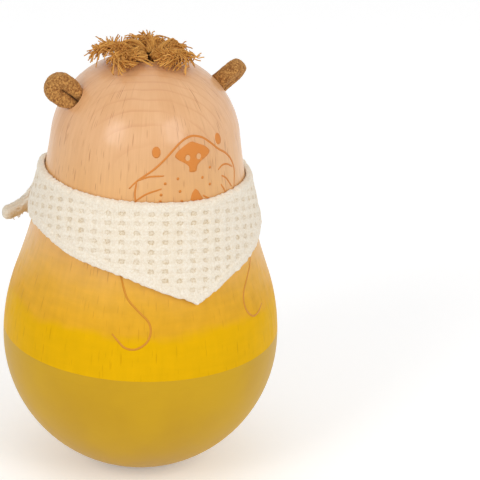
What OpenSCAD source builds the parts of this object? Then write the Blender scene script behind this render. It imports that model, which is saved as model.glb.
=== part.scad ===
// Roly-poly toy: a pear-shaped animal turned in beech that rights itself when it is tipped over.
// It stands on a small flat foot at the origin, +Z is up and its face looks along -Y.
// Angles round the body are measured from the face, positive towards +X.

/* [Body] */
// Largest diameter of the belly
belly_d = 80; // [74:1:86]
// Radius of the curve from the belly up to the shoulders
shoulder_r = 60; // [55:1:66]
// Radius of the hollow curve of the neck
neck_r = 200; // [150:5:260]
// Radius of the rounded head
head_r = 25; // [23:0.5:27]
// Radius of the flat at the crown
crown_flat_r = 2; // [1:0.25:3]
// Height of the head's centre
head_z = 99; // [94:0.5:104]
// Diameter of the flat foot
foot_d = 12; // [8:1:16]
// Thickness of the turned wall
wall = 9; // [7:0.5:10]
// Height of the glued seam between the bowl and the upper body
seam_z = 42.4; // [40:0.2:46]
// Thickness of the bowl's spigot
spigot_t = 3.5; // [2.5:0.25:4.5]
// Height of the bowl's spigot
spigot_h = 6; // [4:0.5:8]
// Radial gap for glue round the spigot
glue_gap = 0.1; // [0.05:0.05:0.2]
// Gap left above the spigot
spigot_relief = 0.3; // [0.2:0.1:0.6]

/* [Ballast] */
// Diameter of the steel slug
weight_d = 40; // [34:1:42]
// Height of the steel slug
weight_h = 20; // [14:1:24]
// Thickness of the wood under the slug
floor_t = 9; // [8:0.5:11]
// Radial gap between the slug and its pocket
weight_gap = 0.2; // [0.1:0.05:0.4]
// Diameter of the screw's shank
screw_d = 4; // [3.5:0.5:5]
// Diameter of the screw's head
screw_head_d = 8; // [7:0.5:10]
// Depth that the screw reaches into the wood
screw_bite = 6; // [4:0.5:6.5]
// Core diameter of the screw in the wood
screw_core_d = 3; // [2.5:0.25:3.25]
// Width of each slot in the screw's head
screw_slot_w = 1; // [0.8:0.1:1.2]
// Radial gap round the screw
screw_gap = 0.1; // [0.05:0.05:0.2]

/* [Ears] */
// Diameter of the soft ear cord
ear_cord_d = 4.5; // [4:0.1:6]
// Distance that an ear stands out of the head
ear_length = 9.6; // [8.5:0.1:14]
// Angle of the ears round the head, from the middle between them
ear_angle = 93; // [80:1:100]
// Turn of that middle from the face
ear_turn = -5.5; // [-10:0.5:10]
// Angle of the left ear above the horizontal
ear_tilt = 38; // [30:1:45]
// How much lower the right ear points than the left
ear_droop = 4; // [0:1:8]
// Turn of the left ear's loop about its own axis
left_ear_twist = 0; // [-30:1:60]
// Turn of the right ear's loop about its own axis
right_ear_twist = 42; // [-30:1:60]
// Diameter of the holes for the ears
ear_hole_d = 6.5; // [6:0.25:8.5]
// Gap between the two legs of an ear
ear_slit = 0.4; // [0.4:0.05:0.8]
// Gap between an ear's legs and its hole
ear_leg_gap = 0.2; // [0.2:0.05:0.4]
// How much wider the stop knot is than its hole
ear_knot_margin = 1.6; // [1.2:0.2:2.4]
// Chamfer round the drilled holes
hole_chamfer = 0.3; // [0.3:0.1:0.8]

/* [Tuft] */
// Diameter of the hole in the crown
tuft_hole_d = 6.5; // [6:0.25:8]
// Gap between the cord ends, and between them and the hole
tuft_gap = 0.3; // [0.25:0.05:0.4]
// Diameter of a cord end where it starts to fray
tuft_root_d = 3.6; // [3:0.2:4.2]
// Height that the cord ends rise above the crown before they bend
tuft_bend_h = 2.6; // [2.4:0.2:4]
// Length of the frayed strands
strand_length = 6; // [5:0.2:8]
// Spread of the outer strands from their cord's axis
strand_spread = 40; // [30:1:45]
// How much wider the binding is than the hole
binding_margin = 3; // [2:0.25:4]
// Number of turns in the binding
binding_turns = 4; // [3:1:5]
// Length of cord left below the binding
tuft_tail = 1.5; // [1:0.5:3]

/* [Scarf] */
// Height of the neckerchief's upper edge
scarf_top_z = 91.8; // [89:0.2:94]
// Height of the neckerchief at the front, from its upper edge to its tip
scarf_drop = 28.6; // [25:0.2:31]
// Height that the lower edge gains from the tip to the sides
scarf_rise = 18; // [14:0.5:20]
// Angle over which the lower edge climbs away from the tip
scarf_spread = 60; // [45:1:65]
// Slant of the upper edge, lower on the +X side
scarf_slant = 0.5; // [0:0.1:2]
// Turn of the tip about the neck
scarf_turn = -3.5; // [-30:0.5:30]
// Thickness of the cloth
cloth_t = 1.7; // [1.3:0.1:2.2]
// Gap between the cloth and the wood
cloth_gap = 0.4; // [0.35:0.05:0.6]
// Distance that the cloth stands off at the sides
scarf_lift = 0.6; // [0:0.1:1.5]
// Width of the hems
hem_w = 2.6; // [2:0.2:3.4]
// Extra thickness of the hems
hem_t = 0.4; // [0.2:0.1:0.7]
// Height of the cloth where it is gathered at the back
gather_h = 9; // [7:0.5:11]
// Extra thickness of the cloth where it is gathered
gather_t = 1.4; // [1:0.1:2]
// Distance of the knot's centre below the upper edge
knot_drop = 12.4; // [7:0.2:14]
// Width of the knot
knot_w = 15; // [12:0.5:18]
// Diameter of the knot across its wrap
knot_d = 11; // [9:0.5:13]
// Thickness of the knot's wrap
knot_wrap_t = 4.8; // [4:0.2:5.4]
// Slant of the knot's wrap
knot_slant = 16; // [0:1:30]
// Gap between the knot and what it lies against
knot_gap = 0.3; // [0.25:0.05:0.5]
// Distance that a tie end reaches sideways from the knot
tail_reach = 21; // [16:0.5:26]
// Distance that a tie end hangs down
tail_drop = 12.5; // [10:0.5:16]
// Distance that a tie end curls round towards the front
tail_curl = 4; // [0:0.5:6]
// Width of a rolled tie end
tail_w = 4.8; // [4:0.2:6]
// Thickness of a rolled tie end
tail_t = 3.8; // [3:0.2:4.4]

/* [Hidden] */
$fn = 120;
// How far a cutting tool reaches past what it cuts
cut = 1;

// The outline: four arcs that meet in tangents, from the foot to the crown
belly_r = belly_d / 2;
belly_z = sqrt(pow(belly_r, 2) - pow(foot_d / 2, 2));
shoulder_c = [belly_r - shoulder_r, belly_z];
head_c = [crown_flat_r, head_z];
crown_z = head_z + head_r;
neck_c = arc_meet(shoulder_c, shoulder_r + neck_r, head_c, head_r + neck_r);

// The point right of the line p to q that lies rp from p and rq from q
function arc_meet(p, rp, q, rq) =
    let (
        d = norm(q - p),
        u = (q - p) / d,
        along = (pow(rp, 2) - pow(rq, 2) + pow(d, 2)) / (2 * d),
        aside = sqrt(pow(rp, 2) - pow(along, 2))
    )
    p + along * u + aside * [u[1], -u[0]];
function unit(v) = v / norm(v);
function shoulder_end(grow) = shoulder_c + (shoulder_r + grow) * unit(neck_c - shoulder_c);
function head_start(grow) = head_c + (head_r + grow) * unit(neck_c - head_c);

// Radius of the turned body at a height, with the surface moved outwards by grow
function body_radius(z, grow = 0) =
    z < belly_z ? sqrt(pow(belly_r + grow, 2) - pow(z - belly_z, 2))
    : z < shoulder_end(grow)[1] ? shoulder_c[0] + sqrt(pow(shoulder_r + grow, 2) - pow(z - belly_z, 2))
    : z < head_start(grow)[1] ? neck_c[0] - sqrt(pow(neck_r - grow, 2) - pow(z - neck_c[1], 2))
    : head_c[0] + sqrt(pow(head_r + grow, 2) - pow(z - head_z, 2));
function around(angle, r, z) = [r * sin(angle), -r * cos(angle), z];
function ease(t) = let (x = min(max(t, 0), 1)) x * x * (3 - 2 * x);
function mix(a, b, t) = a + (b - a) * t;
// Point at t, from 0 to 1, on the smooth curve that a list of points pulls
function curve_point(p, t) =
    len(p) == 1 ? p[0] : curve_point([for (i = [0:len(p) - 2]) mix(p[i], p[i + 1], t)], t);

// Half section of the turned body, right of its axis
module body_section(grow = 0) {
    intersection() {
        translate([0, -belly_r]) square([belly_d, crown_z + belly_d]);
        union() {
            translate([0, belly_z]) circle(r = belly_r + grow);
            intersection() {
                translate(shoulder_c) circle(r = shoulder_r + grow);
                translate([0, belly_z]) square([belly_d, shoulder_r]);
            }
            difference() {
                polygon([[0, belly_z], shoulder_end(grow), head_start(grow), [0, head_z]]);
                translate(neck_c) circle(r = neck_r - grow, $fn = 3 * $fn);
            }
            translate(head_c) circle(r = head_r + grow);
            translate([0, head_z]) square([crown_flat_r, head_r + grow]);
        }
    }
}

// Swept tubes: rings of points round a path, closed by flat ends
function tangent(path, i) = unit(path[min(i + 1, len(path) - 1)] - path[max(i - 1, 0)]);
function ring(c, u, v, a, b, n) =
    [for (k = [0:n - 1]) c + a * cos(360 * k / n) * u + b * sin(360 * k / n) * v];
function sweep_points(path, a, b, across, n) = [
    for (i = [0:len(path) - 1])
        let (
            t = tangent(path, i),
            u = unit(across - (across * t) * t)
        )
        each ring(path[i], u, cross(t, u), a[i], b[i], n)
];
function side_faces(rings, n) = [
    for (i = [0:rings - 2], k = [0:n - 1])
        let (
            p = i * n + k,
            q = i * n + (k + 1) % n
        )
        each [[p, p + n, q + n], [p, q + n, q]]
];
function start_face(n) = [for (k = [1:n - 2]) [0, k, k + 1]];
function end_face(first, n) = [for (k = [1:n - 2]) [first, first + k + 1, first + k]];

// A tube along a path, a half wide along across and b half deep square to it at each point
module sweep(path, a, b, across, n = 12) {
    m = len(path);
    polyhedron(
        points = sweep_points(path, a, b, across, n),
        faces = concat(side_faces(m, n), start_face(n), end_face((m - 1) * n, n))
    );
}

// The spigot lines the bowl's rim and enters a rebate in the upper body
spigot_r = body_radius(seam_z, -wall) + spigot_t;
weight_top = floor_t + weight_h;
screw_head_h = (screw_head_d - screw_d) / 2;

// Head and chest in one turned shell, drilled for the ears and the tuft
module upper_body() {
    color("burlywood") difference() {
        rotate_extrude() difference() {
            intersection() {
                body_section();
                translate([0, seam_z]) square([belly_d, crown_z]);
            }
            body_section(-wall);
            translate([0, seam_z - cut])
                square([spigot_r + glue_gap, spigot_h + spigot_relief + cut]);
        }
        for (side = [-1, 1]) ear_place(side) drilled_hole(ear_hole_d, wall);
        translate([0, 0, crown_z]) drilled_hole(tuft_hole_d, wall);
    }
}

// Rise of the head's curve over a hole's edge
function hole_sag(d) = pow(d / 2 + hole_chamfer, 2) / (2 * head_r);

// A through hole with a chamfered mouth, drilled down from the surface
module drilled_hole(d, depth) {
    sag = hole_sag(d);
    translate([0, 0, -depth - 2 * cut]) cylinder(d = d, h = depth + 3 * cut);
    translate([0, 0, -sag - hole_chamfer])
        cylinder(d1 = d, d2 = d + 2 * (hole_chamfer + sag + cut), h = hole_chamfer + sag + cut);
}

// Round lower bowl with the spigot, the slug's pocket and the screw's pilot hole
module base_bowl() {
    color("goldenrod") difference() {
        rotate_extrude() difference() {
            union() {
                intersection() {
                    body_section();
                    square([belly_d, seam_z]);
                }
                translate([0, seam_z - spigot_h]) square([spigot_r, 2 * spigot_h]);
            }
            intersection() {
                body_section(-wall);
                translate([0, floor_t]) square([belly_d, seam_z - floor_t]);
            }
            translate([0, floor_t]) square([weight_d / 2 + weight_gap, seam_z - floor_t]);
            translate([0, seam_z - cut]) square([spigot_r - spigot_t, spigot_h + 2 * cut]);
        }
        translate([0, 0, floor_t - screw_bite - screw_gap])
            cylinder(d = screw_core_d + 2 * screw_gap, h = screw_bite + screw_gap + cut);
    }
}

// Steel slug in the bowl's floor, countersunk for its screw
module ballast_weight() {
    color("slategray") difference() {
        translate([0, 0, floor_t]) cylinder(d = weight_d, h = weight_h);
        translate([0, 0, floor_t - cut])
            cylinder(d = screw_d + 2 * screw_gap, h = weight_h + 2 * cut);
        translate([0, 0, weight_top - screw_head_h])
            cylinder(
                d1 = screw_d + 2 * screw_gap,
                d2 = screw_head_d + 2 * screw_gap,
                h = screw_head_h
            );
        translate([0, 0, weight_top]) cylinder(d = screw_head_d + 2 * screw_gap, h = cut);
    }
}

// Countersunk wood screw with a cross recess
module ballast_screw() {
    shank_z = floor_t + screw_gap;
    point_d = screw_core_d / 3;
    point_h = screw_core_d / 2;
    slot_length = screw_head_d / 2;
    slot_depth = screw_head_h / 2;
    color("silver") difference() {
        union() {
            translate([0, 0, weight_top - screw_head_h])
                cylinder(d1 = screw_d, d2 = screw_head_d, h = screw_head_h);
            translate([0, 0, shank_z]) cylinder(d = screw_d, h = weight_top - screw_head_h - shank_z);
            translate([0, 0, floor_t - screw_bite + point_h]) cylinder(d = screw_core_d, h = screw_bite);
            translate([0, 0, floor_t - screw_bite]) cylinder(d1 = point_d, d2 = screw_core_d, h = point_h);
        }
        for (turn = [0, 90]) translate([0, 0, weight_top - slot_depth]) rotate([0, 0, turn])
            translate([-slot_length / 2, -screw_slot_w / 2, 0])
                cube([slot_length, screw_slot_w, slot_depth + cut]);
    }
}

// Ear loops: one cord folded in two, its legs squeezed into the hole and knotted inside the head
ear_loop_x = (ear_cord_d + ear_slit) / 2;
ear_loop_z = ear_length - ear_loop_x - ear_cord_d / 2;
ear_knot_r = (ear_hole_d + ear_knot_margin) / 2;
// Depth of the hole's inner edge below the head's surface, where the knot seats
head_in_r = head_r - wall;
ear_seat_z = -head_r + sqrt(pow(head_in_r, 2) - pow(ear_hole_d / 2, 2));
ear_knot_z = ear_seat_z - sqrt(pow(ear_knot_r, 2) - pow(ear_hole_d / 2, 2)) - ear_leg_gap;
// Share of the room in a hole that a leg's depth fills
leg_fill = 0.86;
// Width, distance from the middle and depth of a leg that fills half of a hole of radius r
function leg_wide(r) = r - ear_leg_gap - ear_slit / 2;
function leg_x(r) = (leg_wide(r) + ear_slit) / 2;
function leg_deep(r) = 2 * leg_fill * sqrt(pow(r - ear_leg_gap, 2) - pow(leg_x(r), 2));
ear_hole_r = ear_hole_d / 2;
ear_mouth_r = ear_hole_r + hole_chamfer;
ear_mouth_h = hole_sag(ear_hole_d) + hole_chamfer;
// Share of its widening that a leg has half-way to the loop
ear_flare = 0.6;
// Up one leg: distance from the middle, height, width and depth of the cord
ear_leg = [
    [leg_x(ear_hole_r), ear_knot_z, leg_wide(ear_hole_r), leg_deep(ear_hole_r)],
    [leg_x(ear_hole_r), ear_knot_z / 2, leg_wide(ear_hole_r), leg_deep(ear_hole_r)],
    [leg_x(ear_hole_r), -ear_mouth_h, leg_wide(ear_hole_r), leg_deep(ear_hole_r)],
    [leg_x(ear_mouth_r), 0, leg_wide(ear_mouth_r), leg_deep(ear_mouth_r)],
    [
        mix(leg_x(ear_mouth_r), ear_loop_x, ear_flare),
        ear_loop_z / 4,
        mix(leg_wide(ear_mouth_r), ear_cord_d, ear_flare),
        mix(leg_deep(ear_mouth_r), ear_cord_d, ear_flare)
    ],
    [ear_loop_x, ear_loop_z / 2, ear_cord_d, ear_cord_d]
];
ear_arc_steps = 10;
ear_path = concat(
    [for (p = ear_leg) [-p[0], 0, p[1]]],
    [
        for (i = [0:ear_arc_steps])
            let (a = 180 - 180 * i / ear_arc_steps)
            [ear_loop_x * cos(a), 0, ear_loop_z + ear_loop_x * sin(a)]
    ],
    [for (i = [len(ear_leg) - 1:-1:0]) [ear_leg[i][0], 0, ear_leg[i][1]]]
);
// Half of a size in ear_leg, along the whole path
function ear_half(size) = concat(
    [for (p = ear_leg) p[size] / 2],
    [for (i = [0:ear_arc_steps]) ear_cord_d / 2],
    [for (i = [len(ear_leg) - 1:-1:0]) ear_leg[i][size] / 2]
);

// Moves what is drawn upwards from the origin onto the head, pointing out of an ear's hole
module ear_place(side) {
    tilt = side < 0 ? ear_tilt : ear_tilt - ear_droop;
    rotate([0, 0, ear_turn + side * (ear_angle - 90)])
        translate([side * (crown_flat_r + head_r * cos(tilt)), 0, head_z + head_r * sin(tilt)])
            rotate([0, side * (90 - tilt), 0]) children();
}
module ear(side, twist) {
    color("peru") ear_place(side) rotate([0, 0, twist]) {
        sweep(ear_path, ear_half(3), ear_half(2), [0, 1, 0]);
        translate([0, 0, ear_knot_z]) sphere(r = ear_knot_r, $fn = 12);
    }
}
module left_ear() ear(-1, left_ear_twist);
module right_ear() ear(1, right_ear_twist);

// Tuft: six cord ends stand in a ring in the crown's hole, bend outwards and fray
tuft_count = 6;
// Place of the first cord in the ring
tuft_first = -45;
// Direction of each cord end round the crown
tuft_angle = [-76, -118, -165, 145, 97, 40];
// Distance of each frayed end from the toy's axis
tuft_reach = [9, 11.6, 8, 7.4, 9.4, 11];
// Height of each frayed end above the crown
tuft_rise = [1.8, 2.4, 2.2, 2.2, 2.2, 2];
// Angle of each frayed end above the horizontal
tuft_lift = [4, 14, 8, 10, 6, 4];
// Cords on a ring of radius q lie q apart, so that the ring fills the hole with the gaps named
tuft_ring_r = (tuft_hole_d / 2 - tuft_gap / 2) / 1.5;
tuft_cord_d = tuft_ring_r - tuft_gap;
binding_r = (tuft_hole_d + binding_margin) / 2;
binding_wire = (binding_r - tuft_hole_d / 2) / 2;
binding_top = head_z + sqrt(pow(head_in_r, 2) - pow(binding_r - crown_flat_r, 2)) - tuft_gap;
// Spacing of the binding's turns, in thicknesses of its thread
binding_spacing = 0.8;
binding_pitch = binding_spacing * 2 * binding_wire;
binding_h = 2 * binding_wire + (binding_turns - 1) * binding_pitch;
// Number of strands in each crown of a frayed end
strand_count = 10;
// Share by which the strands differ in length, as ends cut by hand do
strand_vary = 0.14;
// Step from one strand's length to the next, as an angle
strand_step = 137.5;
// Width of a frayed end's mouth and of its heart, in widths of the cord
mouth_share = 1.25;
heart_share = 0.7;

module tuft_cord(i) {
    start_angle = tuft_first - 360 * i / tuft_count;
    low = around(start_angle, tuft_ring_r, binding_top - binding_h - tuft_tail);
    mouth = around(start_angle, tuft_ring_r, crown_z);
    bend = around(start_angle, tuft_ring_r, crown_z + tuft_bend_h);
    root = around(tuft_angle[i], tuft_reach[i], crown_z + tuft_rise[i]);
    axis = around(tuft_angle[i], cos(tuft_lift[i]), sin(tuft_lift[i]));
    bow_steps = 5;
    path = concat(
        [low],
        [
            for (k = [0:bow_steps])
                curve_point([mouth, bend, root], k / bow_steps)
        ]
    );
    thick = [for (k = [0:len(path) - 1]) mix(tuft_cord_d, tuft_root_d, ease((k - 1) / bow_steps)) / 2];
    color("sienna") frayed_cord(path, thick, axis, around(tuft_angle[i] + 90, 1, 0));
}

// A cord whose end opens into two crowns of pointed strands round its axis
module frayed_cord(path, thick, axis, across) {
    n = strand_count;
    m = len(path);
    root = path[m - 1];
    root_r = thick[m - 1];
    lift = cross(across, axis);
    mouth_r = mouth_share * root_r;
    heart_r = heart_share * root_r;
    long = [for (k = [0:n - 1]) strand_length * (1 - strand_vary * (1 - sin(strand_step * k)))];
    valley = ring(root + (mouth_r - root_r) * axis, across, -lift, mouth_r, mouth_r, n);
    inner = ring(root + root_r * axis, across, -lift, heart_r, heart_r, n);
    tips = strand_tips(root, axis, across, -lift, strand_spread, long);
    inner_tips = strand_tips(root, axis, across, -lift, strand_spread / 2, long);
    v = m * n;
    w = v + n;
    t = w + n;
    s = t + n;
    heart = s + n;
    polyhedron(
        points = concat(
            sweep_points(path, thick, thick, across, n), valley, inner, tips, inner_tips,
            [root + mouth_r * axis]
        ),
        faces = concat(
            start_face(n),
            side_faces(m + 1, n),
            [
                for (k = [0:n - 1])
                    let (l = (k + 1) % n)
                    each [
                        [v + k, t + k, v + l],
                        [v + l, t + k, w + l],
                        [w + l, t + k, w + k],
                        [w + k, t + k, v + k],
                        [w + k, s + k, w + l],
                        [w + l, s + k, heart],
                        [heart, s + k, w + k]
                    ]
            ]
        )
    );
}
function strand_tips(root, axis, u, v, spread, long) = [
    for (k = [0:len(long) - 1])
        let (a = 360 * (k + 0.5) / len(long))
        root + long[k] * (cos(spread) * axis + sin(spread) * (cos(a) * u + sin(a) * v))
];
module tuft_cord_1() tuft_cord(0);
module tuft_cord_2() tuft_cord(1);
module tuft_cord_3() tuft_cord(2);
module tuft_cord_4() tuft_cord(3);
module tuft_cord_5() tuft_cord(4);
module tuft_cord_6() tuft_cord(5);

// Thread whipping round the cord ends, too wide to slip through the hole
module tuft_binding() {
    color("tan") rotate_extrude() {
        for (turn = [0:binding_turns - 1])
            translate([binding_r - binding_wire, binding_top - binding_wire - turn * binding_pitch])
                circle(r = binding_wire, $fn = 24);
        translate([tuft_hole_d / 2, binding_top - binding_h + binding_wire])
            square([binding_wire, binding_h - 2 * binding_wire]);
    }
}

// Neckerchief: a shell round the neck, pointed at the front and gathered into the knot at the back
scarf_steps = 72;
// Angle from the tip at which the cloth starts to gather
gather_start = 120;
// Part of a bulge's outline that the cloth follows from its lower to its upper edge
bulge_from = 0.1;
bulge_to = 0.85;
knot_z = scarf_top_z - knot_drop;
function gathered(angle) = ease((abs(angle) - gather_start) / (180 - gather_start));
function scarf_low(angle) =
    mix(
        scarf_top_z - scarf_drop + scarf_rise * (1 - exp(-abs(angle) / scarf_spread)),
        knot_z - gather_h / 2,
        gathered(angle)
    );
function scarf_high(angle) =
    mix(scarf_top_z - scarf_slant * sin(angle), knot_z + gather_h / 2, gathered(angle));
// Outline of the cloth's section, up the inside and down the outside. Each point has its share of
// the height, its shift in hem widths, its depth through the cloth and its share of the hem's thickness
scarf_section = [
    [0, 0.2, 0, 0], [0.35, 0, 0, 0], [0.7, 0, 0, 0], [1, -0.2, 0, 0], [1, 0, 0.5, 0.5],
    [1, -0.2, 1, 1], [1, -1, 1, 1], [1, -1.2, 1, 0], [0.65, 0, 1, 0], [0.35, 0, 1, 0],
    [0, 1.2, 1, 0], [0, 1, 1, 1], [0, 0.2, 1, 1], [0, 0, 0.5, 0.5]
];
function scarf_point(angle, s) =
    let (
        z = mix(scarf_low(angle), scarf_high(angle), s[0]) + s[1] * hem_w,
        lift = scarf_lift * pow(sin(angle), 2) * sin(180 * mix(bulge_from, bulge_to, s[0])),
        thick = cloth_t + gather_t * gathered(angle)
    )
    around(angle + scarf_turn, body_radius(z, cloth_gap + lift + thick * s[2] + hem_t * s[3]), z);

module scarf_cloth() {
    n = len(scarf_section);
    color("linen") polyhedron(
        points = [
            for (i = [0:scarf_steps - 1], s = scarf_section)
                scarf_point(360 * i / scarf_steps - 180, s)
        ],
        faces = [
            for (i = [0:scarf_steps - 1], k = [0:n - 1])
                let (
                    p = i * n,
                    q = (i + 1) % scarf_steps * n,
                    l = (k + 1) % n
                )
                each [[p + k, q + l, p + l], [p + k, q + k, q + l]]
        ]
    );
}

// The knot lies against the gathered cloth at the back of the neck
cloth_back = body_radius(knot_z, cloth_gap + cloth_t + gather_t + hem_t);
knot_y = cloth_back + knot_gap + knot_d / 2;
module scarf_back() rotate([0, 0, scarf_turn]) translate([0, knot_y, knot_z]) children();

// Knot: one slanting wrap of the rolled cloth round the two ends that it ties
module scarf_knot() {
    wrap_r = knot_wrap_t / 2;
    lobe_r = knot_d / 2 - wrap_r / 2;
    color("linen") scarf_back() {
        rotate([0, knot_slant, 0]) rotate([0, 90, 0]) rotate_extrude()
            translate([knot_d / 2 - wrap_r, 0]) circle(r = wrap_r);
        for (side = [-1, 1]) translate([side * (knot_w / 2 - lobe_r), 0, 0]) sphere(r = lobe_r);
    }
}

// Tie ends: rolled strips that leave the knot sideways and droop
module scarf_tail(side) {
    start = [side * (knot_w / 2 + knot_gap), 0, 0];
    // Share of the reach at which the strip turns down
    turn_share = 0.33;
    turn = start + [side * tail_reach * turn_share, 0, 0];
    sag = turn + [0, -tail_curl / 2, -tail_drop];
    tip = start + [side * tail_reach, -tail_curl, -tail_drop];
    steps = 10;
    path = [for (k = [0:steps]) curve_point([start, turn, sag, tip], k / steps)];
    // The strip thins from the knot towards its hemmed end, which is rounded off
    end_share = 0.85;
    tip_share = 0.6;
    swell = [for (k = [0:steps]) k < steps ? mix(1, end_share, k / steps) : tip_share];
    color("linen") scarf_back() sweep(path, tail_w / 2 * swell, tail_t / 2 * swell, [0, 0, 1]);
}
module scarf_tail_left() scarf_tail(-1);
module scarf_tail_right() scarf_tail(1);

upper_body();
base_bowl();
ballast_weight();
ballast_screw();
left_ear();
right_ear();
tuft_cord_1();
tuft_cord_2();
tuft_cord_3();
tuft_cord_4();
tuft_cord_5();
tuft_cord_6();
tuft_binding();
scarf_cloth();
scarf_knot();
scarf_tail_left();
scarf_tail_right();
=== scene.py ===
"""Looks of the roly-poly toy: turned and painted beech, printed face, cord ears
and tuft, waffle neckerchief.

Sizes are in millimetres and angles in degrees. Angles round the body start at the face, which looks along
-Y, and grow towards +X. Meshes are written in metres.
"""
import random
from math import atan, atan2, copysign, cos, exp, hypot, pi, radians, sin, sqrt

import bpy
import numpy as np
from mathutils import Matrix, Vector, noise
from mathutils.bvhtree import BVHTree
from mathutils.geometry import delaunay_2d_cdt


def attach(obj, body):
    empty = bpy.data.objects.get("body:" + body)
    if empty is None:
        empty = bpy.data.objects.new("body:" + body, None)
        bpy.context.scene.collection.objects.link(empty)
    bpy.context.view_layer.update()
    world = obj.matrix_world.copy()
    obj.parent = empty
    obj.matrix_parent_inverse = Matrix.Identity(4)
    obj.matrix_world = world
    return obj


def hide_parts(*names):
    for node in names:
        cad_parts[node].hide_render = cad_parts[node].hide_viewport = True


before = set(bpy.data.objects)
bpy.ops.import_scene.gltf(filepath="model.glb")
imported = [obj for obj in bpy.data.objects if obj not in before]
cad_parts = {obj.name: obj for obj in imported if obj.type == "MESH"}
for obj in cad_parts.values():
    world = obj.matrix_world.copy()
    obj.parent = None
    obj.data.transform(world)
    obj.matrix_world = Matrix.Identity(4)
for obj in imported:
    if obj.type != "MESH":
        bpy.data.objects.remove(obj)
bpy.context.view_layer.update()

MM = 0.001

# The turned body, as in the CAD
HEAD_R = 25
HEAD_Z = 99
CROWN_FLAT_R = 2
CROWN_Z = HEAD_Z + HEAD_R
WALL = 9

# Ears: a soft cord folded in two, its legs in a drilled hole and knotted inside the head. Each
# has its side, its angle round the body, its tilt and its twist
EARS = {"left_ear": (-1, -98.5, 38, 0), "right_ear": (1, 87.5, 34, 42)}
EAR_CORD_D = 4.5
EAR_CORD_DEEP = 4.4
EAR_CORD_SQUARE = 0.34
EAR_LENGTH = 9.6
EAR_SLIT = -0.12
EAR_HOLE_R = 3.25
EAR_MOUTH_R = 3.55
EAR_MOUTH_H = 0.55
EAR_LEG_GAP = 0.2
EAR_LEG_FILL = 0.92
EAR_KNOT_R = 4.05
EAR_KNOT_DROP = 1.2
EAR_STEP = 0.3
EAR_ARC_POINTS = 30
EAR_SIDES = 48
WOOL_DEPTH = 0.14
WOOL_SCALE = 1.5
# Painted shade in the slit between the legs (its width and fade) and in the wool's hollows
SLIT_SHADE_W = 0.05
SLIT_SHADE_FADE = 0.35
HOLLOW_SHADE_EVEN = 0.15
HOLLOW_SHADE_ODD = 0.6

# Tuft: six cord ends from one hole, each with its direction, reach, height above the crown, lift,
# length of its loose yarns, their spread, and the share of the cord at which they begin to leave it
TUFT_CORDS = (
    (-85, 10.0, 1.8, 8, 6.4, 125, 0.58),
    (-118, 11.6, 2.4, 18, 8.2, 68, 0.25),
    (-168, 7.6, 2.0, 6, 4.4, 85, 0.45),
    (145, 7.4, 2.6, 30, 5.6, 100, 0.3),
    (97, 9.4, 2.2, 12, 5.8, 95, 0.3),
    (40, 11.0, 2.0, 8, 6.2, 115, 0.1),
)
TUFT_FIRST = -45
TUFT_RING_R = 2.07
TUFT_CORD_R = 0.88
TUFT_ROOT_R = 1.8
TUFT_BEND = 2.6
TUFT_LOW_Z = 106.5
TUFT_CLEARANCE = 0.05
TUFT_SEED = 6
PLIES = 3
PLY_R = 0.5 * TUFT_CORD_R
PLY_OFF = 0.46 * TUFT_CORD_R
PLY_SIDES = 10
PLY_TURN_STEPS = 14
PLY_END = 0.6
PLY_TONE = 0.4
# Painted shade on the plies, deep in the tuft
PLY_SHADE = 0.8
HOLE_STEPS = 6
BEND_STEPS = 16
YARN_R = 0.21
YARN_TIP = 0.8
YARN_SIDES = 5
LOCKS = 36
LOCK_YARNS = 4
LOCK_LENGTH = (0.75, 1.1)
LOCK_BEAT = (0.35, 0.6)
LOCK_DROOP = 1.4
LOCK_PHASE = 6
YARN_LENGTH = (0.75, 1.08)
YARN_EARLY = 0.8
YARN_INNER = 0.05
YARN_TURN_INNER = 0.3
CRINKLE = (0.1, 0.34)
STEM_STEPS = 8
STEM_FIRST = 0.15
STEM_TWIST = 0.25
STEM_WIDE = 1.2
STEM_EARLY = 0.75
LOOSE_STEPS = 13
AHEAD_FROM = 0.85
AHEAD_SHARE = 0.6
FAN_FLAT = 0.8
KNEE_AHEAD = 0.42
KNEE_OUT = 0.38
TIP_AHEAD = 0.85
QUICK_BEAT = 2.3
QUICK_SHARE = 0.35
# Painted shade towards the yarns' roots: its amount on the inner and the outer yarns, and where along the
# stem it starts to fade
ROOT_SHADE = (0.7, 0.2)
ROOT_SHADE_END = 0.4
GOLDEN_TURN = 2.39996
GOLDEN_SHARE = 0.618
# Chance differences of locks and of their yarns
LOCK_TURN_GIVE = 0.3
LOCK_FAN_GIVE = 18
YARN_SHARE_GIVE = 0.14
YARN_TURN_GIVE = 0.4
YARN_LEAVE_GIVE = 0.1
YARN_FAN_GIVE = 14
YARN_SWAY_GIVE = 0.45
YARN_PHASE_GIVE = 0.4
YARN_TONE_GIVE = 0.35

# Neckerchief
SCARF_TOP_Z = 91.8
SCARF_DROP = 28.6
SCARF_RISE = 18
SCARF_SPREAD = 60
SCARF_SLANT = 0.5
SCARF_TURN = -3.5
SCARF_LIFT = 0.6
CLOTH_T = 1.7
CLOTH_GAP = 0.08
HEM_T = 0.4
GATHER_START = 120
GATHER_H = 9
GATHER_T = 1.4
PLEATS = 5
PLEAT_DEPTH = 0.55
HEM_TOP_W = 2.0
HEM_LOW_W = 3.2
HEM_FULL = 0.8
HEM_TOP_FADE = 0.5
HEM_LOW_FADE = 0.35
STITCH_W = 0.3
STITCH_DEPTH = 0.22
STITCH_SHADE = 0.35
PIT_DEPTH = 0.42
PIT_SHARP = 1.9
PIT_EVEN = 0.85
PIT_ODD = 0.5
KNOB_DEPTH = (0.08, 0.2)
SCARF_COLUMNS = 680
SCARF_ROWS = 96
SCARF_INNER_ROWS = 14
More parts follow.
